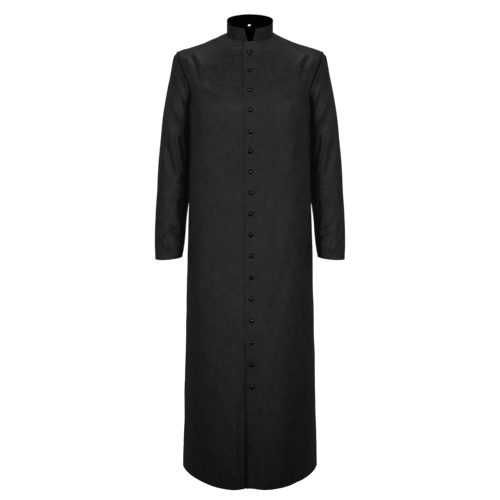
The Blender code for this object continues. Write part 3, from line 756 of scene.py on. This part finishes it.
def sleeve_base():
    """The outside of the wearer's left sleeve, in rings from the armhole to the wrist."""
    last = len(SLEEVE) - 1
    cuff = last - EDGE_STEPS[::-1] / (SLEEVE[-2][1] - SLEEVE[-1][1])
    head = EDGE_STEPS / SLEEVE_HEAD_STEP
    at = np.concatenate([head[:-1], np.linspace(head[-1], cuff[0], SLEEVE_ROWS)[:-1], cuff])
    rows = [(k, *row) for k, row in enumerate(SLEEVE)]
    column = {name: smooth(("place", *SLEEVE_COLUMNS), rows, name, at)[:, None] for name in SLEEVE_COLUMNS}
    loop = armhole_loop()
    turn = turns(len(loop))
    outward = (1 + np.cos(turn)) / 2
    ahead, behind = np.clip(np.sin(turn), 0, None), np.clip(-np.sin(turn), 0, None)
    ring = np.stack(
        [
            column["inner_x"] + (column["outer_x"] - column["inner_x"]) * outward,
            column["middle_y"] * (1 - ahead - behind) + column["front_y"] * ahead + column["back_y"] * behind,
            column["inner_z"] + (column["outer_z"] - column["inner_z"]) * outward,
        ],
        axis=-1,
    )
    facing = np.broadcast_to(ahead - behind, ring.shape[:2])
    outward = np.broadcast_to(outward, ring.shape[:2])
    return ring + column["hold"][..., None] * (loop - ring[0]), facing, outward


def uneven_rows(rows):
    """The same creases a little longer, shorter, deeper or flatter, for the other sleeve."""
    changed = []
    for n, row in enumerate(rows):
        crease = dict(zip(CREASE_COLUMNS, row))
        for axis, (size, by_crease, by_place) in UNEVEN_SHIFT.items():
            for k in range(3):
                crease[f"{axis}{k}"] += size * math.sin(by_crease * n + by_place * k)
        change = UNEVEN_HEIGHT["change"] * math.sin(UNEVEN_HEIGHT["by_crease"] * n)
        crease["height"] *= UNEVEN_HEIGHT["middle"] + change
        changed.append(tuple(crease[name] for name in CREASE_COLUMNS))
    return changed


def sleeve(node, side, materials):
    base, facing, outward = sleeve_base()
    base = base - drag_folds(base, facing)[..., None] * normals(base, True)
    along = distances(base, 0)
    snug = SNUG["by"] * (1 - outward) ** SNUG["power"] * within(along, **SNUG_ALONG)
    base = base - snug[..., None] * np.array([1.0, 0.0, 0.0])
    around = distances(np.concatenate([base, base[:, :1]], axis=1), 1)[:, :-1]
    to_cuff = along[-1:] - along
    rows = SLEEVE_CREASES if side < 0 else uneven_rows(SLEEVE_CREASES)
    relief = unevenness(base) * SLEEVE_WAVES + creases(base, facing, rows)
    roll = ridge(along, **ARMHOLE_RIDGE) + ridge(along, **ARMHOLE_VALLEY)
    at_back = ARMHOLE_ROLL["at_back"]
    roll = roll * (at_back + (1 - at_back) * ease(0.5 + ARMHOLE_ROLL["spread"] * facing))
    near_hole = 1 - ease((along - UNDERARM["hole_end"]) / UNDERARM["hole_fade"])
    held = UNDERARM["held"] + UNDERARM["held_at_hole"] * near_hole
    free = ease((outward - held) / UNDERARM["fade"])
    relief = relief * ease(along / HEAD_FADE) + roll + seam_relief(along, around, SEAM_PHASE["armhole"])
    cuff_line, cuff_extra = turn_up(to_cuff, CUFF_TURN_UP)
    relief = relief * free + cuff_line
    raised, out, depth, outer, inner = wall(base, relief, np.minimum(along, to_cuff), cuff_extra, True)
    share = ease((outward[0] - ALLOWANCE_ENDS["underarm"]) / ALLOWANCE_ENDS["underarm_fade"])
    allowance(inner, raised, out, depth[0], share)
    mirror = np.array([side, 1.0, 1.0])
    flat = np.stack([around, along], axis=-1)
    return add_shell(f"{node}_cloth", outer * mirror, inner * mirror, flat, materials, closed=True)


def collar_grid(heights):
    """The collar band's outside, its ends slanting apart, and the direction out of it."""
    end_x = COLLAR_END_X["base"] + (COLLAR_END_X["top"] - COLLAR_END_X["base"]) * heights
    end = angle_at(np.zeros_like(end_x), end_x)
    angle = between(end, 2 * math.pi - end, np.zeros_like(end), COLLAR_COLUMNS, True, True)
    neck = body(0.0, angle)
    ahead, behind = ahead_and_behind(angle)
    rise = COLLAR_RISE["side"] + (COLLAR_RISE["front"] - COLLAR_RISE["side"]) * ahead
    rise = rise + (COLLAR_RISE["back"] - COLLAR_RISE["side"]) * behind
    lean = COLLAR_LEAN["front"] * ahead + COLLAR_LEAN["back"] * behind
    place = neck.copy()
    place[..., 1] += lean * heights[:, None]
    inside = LAP_END_X + LAP_STEP["past_lap"] - np.abs(neck[..., 0])
    lift = COLLAR_LIFT + (COLLAR_LIFT_AT_LAP - COLLAR_LIFT) * ease(inside / LAP_STEP["width"]) * (ahead > 0)
    place[..., 2] += lift * (1 - heights[:, None]) + rise * heights[:, None]
    around = body(0.0, angle + SMALL_TURN) - body(0.0, angle - SMALL_TURN)
    out = unit(np.cross(np.array([0.0, 0.0, -1.0]), around * np.array([1.0, 1.0, 0.0])))
    return place - COLLAR_INSET * out, out, angle


def collar(node, materials):
    steps = EDGE_STEPS / COLLAR_RISE["side"]
    middle = np.linspace(steps[-1], 1 - steps[-1], COLLAR_ROWS)
    heights = np.concatenate([steps[:-1], middle, 1 - steps[-2::-1]])
    place, out, angle = collar_grid(heights)
    across, up = distances(place, 1), distances(place, 0)
    edge = np.minimum(np.minimum(across, across[:, -1:] - across), np.minimum(up, up[-1:] - up))
    wave = COLLAR_WAVE["height"] * np.sin(angle * COLLAR_WAVE["count"] + COLLAR_WAVE["phase"])
    relief = wave * np.sin(math.pi * np.clip(heights, 0, 1))[:, None]
    turn = np.arccos(np.clip(np.cos(angle), -1, 1))
    dent = bell((turn - COLLAR_DENT["turn"]) * DENT_BAND["radius"], COLLAR_DENT["half_width"])
    up_from_dent = (heights - COLLAR_DENT["up"])[:, None] * DENT_BAND["height"]
    dent = dent * bell(up_from_dent, COLLAR_DENT["half_height"])
    relief = relief - COLLAR_DENT["depth"] * dent + ridge(edge, **COLLAR_RIDGE) + ridge(edge, **COLLAR_GROOVE)
    place = place + relief[..., None] * out
    inset = rounding(edge, COLLAR_WALL)[..., None]
    outer, inner = place - inset * out, place - (COLLAR_WALL - inset) * out
    inner[..., 2] -= COLLAR_LIP["drop"] * (1 - ease(heights / COLLAR_LIP["over"]))[:, None]
    flat = np.stack([across, up], axis=-1)
    band = add_shell(f"{node}_cloth", outer[::-1], inner[::-1], flat[::-1], materials)
    seam = body(0.0, math.pi)
    hole_z = float(seam[2]) + COLLAR_LIFT + STUD_HOLE["above_seam"]
    bpy.ops.mesh.primitive_cylinder_add(vertices=STUD_HOLE["sides"], radius=1, depth=1)
    cutter = bpy.context.object
    cutter.rotation_euler = (math.pi / 2, 0.0, 0.0)
    cutter.location = (STUD_HOLE["x"] * MM, float(seam[1]) * MM, hole_z * MM)
    size = (STUD_HOLE["width"] / 2, STUD_HOLE["height"] / 2, STUD_HOLE["cutter_length"])
    cutter.scale = tuple(MM * length for length in size)
    cut = band.modifiers.new("stud_hole", "BOOLEAN")
    cut.operation, cut.solver, cut.object = "DIFFERENCE", "EXACT", cutter
    bpy.context.view_layer.update()
    mesh = bpy.data.meshes.new_from_object(band.evaluated_get(bpy.context.evaluated_depsgraph_get()))
    band.modifiers.clear()
    band.data = mesh
    mesh.shade_smooth()
    mesh.set_sharp_from_angle(angle=math.radians(COLLAR_CORNER))
    bpy.data.objects.remove(cutter)
    return band


def tube_faces(start, rings, sides, closed=False):
    """The faces between neighbouring rings of points."""
    faces = []
    for k in range(rings if closed else rings - 1):
        step = ((k + 1) % rings - k) * sides
        for j in range(sides):
            a, b = start + k * sides + j, start + k * sides + (j + 1) % sides
            faces.append((a, b, b + step, a + step))
    return faces


def button(name, node, material):
    """A turned button in the place of the solid it replaces, and where it sits."""
    points = np.array([vertex.co[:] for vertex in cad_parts[node].data.vertices]) / MM
    middle = points.mean(axis=0)
    _, directions = np.linalg.eigh(np.cov((points - middle).T))
    out = directions[:, 0] * -np.sign(directions[1, 0])
    base = middle + out * ((points - middle) @ out).min()
    side = unit(np.cross(out, np.array([1.0, 0.0, 0.0])))
    across = np.cross(side, out)
    turn = turns(BUTTON_SIDES)
    circle = np.cos(turn)[:, None] * across + np.sin(turn)[:, None] * side
    places = [base + radius * circle + height * out for radius, height in BUTTON_RINGS[1:-1]]
    ends = [base + BUTTON_RINGS[0][1] * out, base + BUTTON_RINGS[-1][1] * out]
    faces = tube_faces(0, len(places), BUTTON_SIDES)
    rim, bottom = (len(places) - 1) * BUTTON_SIDES, len(places) * BUTTON_SIDES
    for j in range(BUTTON_SIDES):
        k = (j + 1) % BUTTON_SIDES
        faces += [(k, j, bottom), (rim + j, rim + k, bottom + 1)]
    return add_mesh(name, np.concatenate([*places, ends]), faces, [material]), base


def surface_of(thing):
    """Finds the places on the front of a piece of cloth that lie straight behind given X and Z."""
    points = [vertex.co.copy() for vertex in thing.data.vertices]
    tree = BVHTree.FromPolygons(points, [tuple(face.vertices) for face in thing.data.polygons])

    def at(x, z):
        rays = [tree.ray_cast(Vector((px * MM, -1.0, pz * MM)), Vector((0, 1, 0))) for px, pz in zip(x, z)]
        return np.array([ray[0][:] for ray in rays]) / MM, np.array([ray[1][:] for ray in rays])

    return at


def add_threads(name, runs, radius, material, sides=6):
    """Joined thread pieces. Each run is a line of points that the thread follows, pointed at open ends."""
    points, faces = [], []
    turn = turns(sides)
    for line, out, closed in runs:
        start, count = len(points), len(line)
        looped = np.roll(line, -1, axis=0) - np.roll(line, 1, axis=0)
        along = unit(looped if closed else np.gradient(line, axis=0))
        side = unit(np.cross(along, out))
        up = np.cross(side, along)
        place = (np.arange(count) + THREAD_TIP["from"]) / (count - THREAD_TIP["short"])
        share = np.ones(count) if closed else np.sin(math.pi * place) ** THREAD_TIP["power"]
        for k in range(count):
            ring = np.cos(turn)[:, None] * side[k] + np.sin(turn)[:, None] * up[k]
            points.extend(line[k] + radius * share[k] * ring)
        faces += tube_faces(start, count, sides, closed)
        if not closed:
            faces.append(tuple(start + j for j in reversed(range(sides))))
            faces.append(tuple(start + (count - 1) * sides + j for j in range(sides)))
    return add_mesh(name, points, faces, [material])


def resample(lengths, line, at):
    """The points at some lengths along a line."""
    return np.stack([np.interp(at, lengths, line[:, k]) for k in range(3)], axis=1)


def stitches_along(line, out):
    """Short runs of thread, one stitch each, evenly spaced along a line that lies on the cloth."""
    length = np.concatenate([[0.0], np.cumsum(np.linalg.norm(np.diff(line, axis=0), axis=1))])
    share = np.linspace(0, 1, STITCH["places"])
    raised = STITCH["arch"] * np.sin(math.pi * share)[:, None] - STITCH["sunk"]
    runs = []
    for start in np.arange(STITCH["start"], length[-1] - STITCH["length"], STITCH["pitch"]):
        at = start + share * STITCH["length"]
        normal = unit(resample(length, out, at))
        runs.append((resample(length, line, at) + raised * normal, normal, False))
    return runs


def lap_stitching(name, at, material):
    down = np.linspace(LAP_STITCHES["margin"], HEM_DOWN - LAP_STITCHES["margin"], LAP_STITCHES["samples"])
    x = lap_edge(down) + LAP_GROOVE["at"]
    z = body(down, angle_at(down, x))[:, 2]
    return add_threads(name, stitches_along(*at(x, z)), STITCH["radius"], material)


def collar_stitching(name, material):
    """Two rows of stitches in the collar's grooves, by its lower and its upper edge."""
    inset = COLLAR_GROOVE["at"]
    low = inset / COLLAR_RISE["side"]
    place, out, _ = collar_grid(np.array([low, 0.5, 1 - low]))
    lengths = distances(place, 1)
    runs = []
    for row in (0, 2):
        at = inset + (lengths[row, -1] - 2 * inset) * np.linspace(0, 1, COLLAR_STITCHES["samples"])
        normal = unit(resample(lengths[row], out[row], at))
        line = resample(lengths[row], place[row], at) - COLLAR_STITCHES["sunk"] * normal
        runs += stitches_along(line, normal)
    return add_threads(name, runs, STITCH["radius"], material)


def buttonhole(name, at, centre, material):
    """A worked buttonhole on the lap: two close rings of thread round a slit that starts at its button."""
    turn = turns(BUTTONHOLE_RINGS["places"])
    half = BUTTONHOLE["length"] / 2
    runs = []
    for spread in BUTTONHOLE_RINGS["spreads"]:
        x = centre[0] - BUTTONHOLE["past_button"] + half + half * np.cos(turn)
        z = centre[2] + spread * BUTTONHOLE["width"] / 2 * np.sin(turn)
        line, out = at(x, z)
        runs.append((line + BUTTONHOLE_RINGS["above"] * out, out, True))
    return add_threads(name, runs, BUTTONHOLE["thread"] / 2, material, sides=BUTTONHOLE_RINGS["sides"])


def node_tree(name):
    material = bpy.data.materials.new(name)
    material.use_nodes = True
    tree = material.node_tree
    return material, tree, tree.nodes["Principled BSDF"]


def fill(tree, node, inputs):
    """Sets a node's inputs. One that is given another node's output is linked to it."""
    for key, value in inputs.items():
        if isinstance(value, bpy.types.NodeSocket):
            tree.links.new(value, node.inputs[key])
        else:
            node.inputs[key].default_value = value


def add_node(tree, kind, inputs, output, **settings):
    """Adds a shader node and gives the output that is asked for, or the node where none is."""
    node = tree.nodes.new(f"ShaderNode{kind}")
    for key, value in settings.items():
        setattr(node, key, value)
    fill(tree, node, inputs)
    return node if output is None else node.outputs[output]


def surface_places(tree):
    """Places on the cut cloth and places in the piece's own space."""
    return add_node(tree, "UVMap", {}, "UV", uv_map="cut"), add_node(tree, "TexCoord", {}, "Object")


def bump(tree, strength, distance, height, below=None):
    """A normal raised by a height, on top of another normal where one is given."""
    inputs = {"Strength": strength, "Distance": distance, "Height": height}
    return add_node(tree, "Bump", {**inputs, **({"Normal": below} if below else {})}, "Normal")


def ramp_between(tree, factor, low, high, ends=(0.3, 0.7)):
    ramp = add_node(tree, "ValToRGB", {"Fac": factor}, None)
    ramp.color_ramp.elements[0].position, ramp.color_ramp.elements[1].position = ends
    ramp.color_ramp.elements[0].color = (*low, 1.0)
    ramp.color_ramp.elements[1].color = (*high, 1.0)
    return ramp.outputs["Color"]


def wool_material(name, low, high, shine_low, shine_high):
    """Fine black worsted: a diagonal twill, a mottled surface and a faint sheen."""
    material, tree, shader = node_tree(name)
    cut, place = surface_places(tree)
    turned = add_node(tree, "Mapping", {"Vector": cut, "Rotation": (0.0, 0.0, math.radians(58))}, "Vector")
    hanging = add_node(tree, "Mapping", {"Vector": place, "Scale": (1.0, 1.0, 0.55)}, "Vector")
    ribs = {"Vector": turned, "Scale": 330.0, "Distortion": 0.9, "Detail": 2.0, "Detail Scale": 1.4}
    twill = add_node(tree, "TexWave", ribs, None)
    yarn = add_node(tree, "TexNoise", {"Vector": cut, "Scale": 1900.0, "Detail": 2.0}, "Fac")
    patches = {"Vector": hanging, "Scale": 95.0, "Detail": 5.0, "Roughness": 0.66}
    mottle = add_node(tree, "TexNoise", patches, "Fac")
    slow = add_node(tree, "TexNoise", {"Vector": place, "Scale": 14.0, "Detail": 3.0}, "Fac")
    half = add_node(tree, "Math", {0: slow, 1: 0.45}, "Value", operation="MULTIPLY")
    blend = add_node(tree, "Math", {0: mottle, 1: 0.55, 2: half}, "Value", operation="MULTIPLY_ADD")
    colour = ramp_between(tree, blend, low, high, (0.40, 0.62))
    shades = {0: 0.45, 6: colour, 7: twill.outputs["Color"]}
    worn = {"Value": mottle, "From Min": 0.3, "From Max": 0.7, "To Min": 0.46, "To Max": 0.62}
    shine = {"Value": mottle, "From Min": 0.34, "From Max": 0.66, "To Min": shine_low, "To Max": shine_high}
    weave = bump(tree, 0.55, 0.00016, twill.outputs["Fac"], bump(tree, 0.7, 0.0022, blend))
    looks = {
        "Base Color": add_node(tree, "Mix", shades, 2, data_type="RGBA", blend_type="MULTIPLY"),
        "Roughness": add_node(tree, "MapRange", worn, "Result"),
        "Specular IOR Level": add_node(tree, "MapRange", shine, "Result"),
        "Sheen Weight": 0.06,
        "Sheen Roughness": 0.5,
        "Normal": bump(tree, 0.35, 0.0001, yarn, weave),
    }
    fill(tree, shader, looks)
    return material


def lining_and_shade_material():
    """The inner side of the cloth, a close plain weave, coloured nearly black: a black lining and painted
    shade inside the hollow garment.
    """
    material, tree, shader = node_tree("black_inner_side_and_painted_shade")
    cut, _ = surface_places(tree)
    threads = {"Vector": cut, "Scale": 520.0, "Distortion": 0.6, "Detail": 1.0}
    weave = add_node(tree, "TexWave", threads, "Fac")
    noise = add_node(tree, "TexNoise", {"Vector": cut, "Scale": 40.0, "Detail": 4.0}, "Fac")
    # Nearly black, darker than a real black lining: painted shade for the inside of the collar and body.
    colour = ramp_between(tree, noise, (0.0007, 0.0007, 0.0008), (0.0014, 0.0014, 0.0015))
    looks = {"Base Color": colour, "Roughness": 0.85, "Specular IOR Level": 0.03}
    fill(tree, shader, {**looks, "Normal": bump(tree, 0.4, 0.0001, weave)})
    return material


def thread_material():
    material, tree, shader = node_tree("black_thread")
    _, place = surface_places(tree)
    twist = add_node(tree, "TexWave", {"Vector": place, "Scale": 900.0, "Distortion": 0.5}, "Fac")
    colour = ramp_between(tree, twist, (0.010, 0.010, 0.011), (0.024, 0.024, 0.025))
    fill(tree, shader, {"Base Color": colour, "Roughness": 0.5, "Normal": bump(tree, 0.5, 0.0001, twist)})
    return material


def button_material():
    """Polished black moulding with fine handling marks."""
    material, tree, shader = node_tree("black_gloss_button")
    _, place = surface_places(tree)
    marks = add_node(tree, "TexNoise", {"Vector": place, "Scale": 900.0, "Detail": 4.0}, "Fac")
    looks = {
        "Base Color": ramp_between(tree, marks, (0.0020, 0.0020, 0.0024), (0.0050, 0.0050, 0.0056)),
        "Roughness": add_node(tree, "MapRange", {"Value": marks, "To Min": 0.15, "To Max": 0.21}, "Result"),
        "Specular IOR Level": 0.38,
        "Coat Weight": 0.12,
        "Coat Roughness": 0.10,
    }
    fill(tree, shader, looks)
    return material


def stage_material():
    """A pale matt studio surround, bright enough to hold no shadow."""
    material, tree, shader = node_tree("pale_surround")
    _, place = surface_places(tree)
    paper = add_node(tree, "TexNoise", {"Vector": place, "Scale": 3.0, "Detail": 2.0}, "Fac")
    colour = ramp_between(tree, paper, (0.86, 0.86, 0.86), (0.88, 0.88, 0.88))
    glow = {"Emission Color": (1.0, 1.0, 1.0, 1.0), "Emission Strength": 1.05}
    fill(tree, shader, {"Base Color": colour, "Roughness": 0.9, **glow})
    return material


def add_stage():
    """A round floor and a dome round it. Only the camera sees them, so they put no light on the cloth."""
    pale = stage_material()
    bpy.ops.mesh.primitive_circle_add(vertices=96, radius=STAGE["radius"], fill_type="NGON")
    floor = bpy.context.object
    floor.name = "floor"
    bpy.ops.mesh.primitive_uv_sphere_add(segments=64, ring_count=32, radius=STAGE["radius"])
    dome = bpy.context.object
    dome.name = "surround"
    for thing in (floor, dome):
        thing.location = (0.0, 0.0, STAGE["floor_z"])
        thing.data.materials.append(pale)
        thing.visible_diffuse = thing.visible_glossy = thing.visible_shadow = False


def add_light(name, kind, place, target, size, power):
    data = bpy.data.lights.new(name, kind)
    data.energy = power
    if kind == "SPOT":
        data.shadow_soft_size, data.spot_size, data.spot_blend = size[0], math.radians(size[1]), 1.0
    else:
        data.shape = "RECTANGLE"
        data.size, data.size_y = size
    light = bpy.data.objects.new(name, data)
    light.location = place
    light.rotation_euler = (Vector(target) - Vector(place)).to_track_quat("-Z", "Y").to_euler()
    bpy.context.scene.collection.objects.link(light)


def add_lights():
    for row in LIGHTS:
        add_light(*row)
    world = bpy.data.worlds.new("studio")
    world.use_nodes = True
    background = world.node_tree.nodes["Background"]
    fill(world.node_tree, background, {"Color": (1.0, 1.0, 1.0, 1.0), "Strength": WORLD_LIGHT})
    bpy.context.scene.world = world


def add_camera():
    data = bpy.data.cameras.new("camera")
    data.lens, data.sensor_width = CAMERA["lens"], CAMERA["sensor"]
    camera = bpy.data.objects.new("camera", data)
    camera.location = (0.0, CAMERA["y"], CAMERA["z"])
    camera.rotation_euler = (math.radians(90 - CAMERA["pitch"]), 0.0, 0.0)
    bpy.context.scene.collection.objects.link(camera)
    bpy.context.scene.camera = camera


def dress():
    """Adds every piece of the garment, hides the solid that each one replaces and hangs it on the root."""
    low, high = (0.0142, 0.0142, 0.0147), (0.0232, 0.0232, 0.0238)
    wool = wool_material("black_wool_twill", low, high, 0.33, 0.53)
    # The collar gets a darker, less shiny copy of the same wool: painted shade on the collar.
    low, high = (0.0082, 0.0082, 0.0085), (0.0138, 0.0138, 0.0142)
    collar_shaded_wool = wool_material("black_wool_collar_painted_shade", low, high, 0.22, 0.36)
    lining_and_shade, thread, gloss = lining_and_shade_material(), thread_material(), button_material()
    cloth = (wool, lining_and_shade)
    pieces = {
        "front_left": front_panel("front_left", 1, cloth),
        "front_right": front_panel("front_right", -1, cloth),
        "back": back_panel("back", cloth),
        "sleeve_left": sleeve("sleeve_left", 1, cloth),
        "sleeve_right": sleeve("sleeve_right", -1, cloth),
        "collar": collar("collar", (collar_shaded_wool, lining_and_shade)),
    }
    for node, piece in pieces.items():
        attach(piece, "root")
        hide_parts(node)
    at = surface_of(pieces["front_left"])
    sewn = [lap_stitching("lap_stitching", at, thread)]
    trim = [sewn[0]]
    for n in range(1, BUTTON_COUNT + 1):
        node = f"button_{n:02d}"
        dome, base = button(f"{node}_dome", node, gloss)
        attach(dome, "root")
        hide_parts(node)
        trim.append(buttonhole(f"buttonhole_{n:02d}", at, base, thread))
        sewn += [trim[-1], dome]
    band = collar_stitching("collar_stitching", thread)
    for piece in (*trim, band):
        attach(piece, "root")


bpy.context.scene.view_settings.view_transform = "Standard"
dress()
add_stage()
add_lights()
add_camera()
bpy.context.view_layer.update()
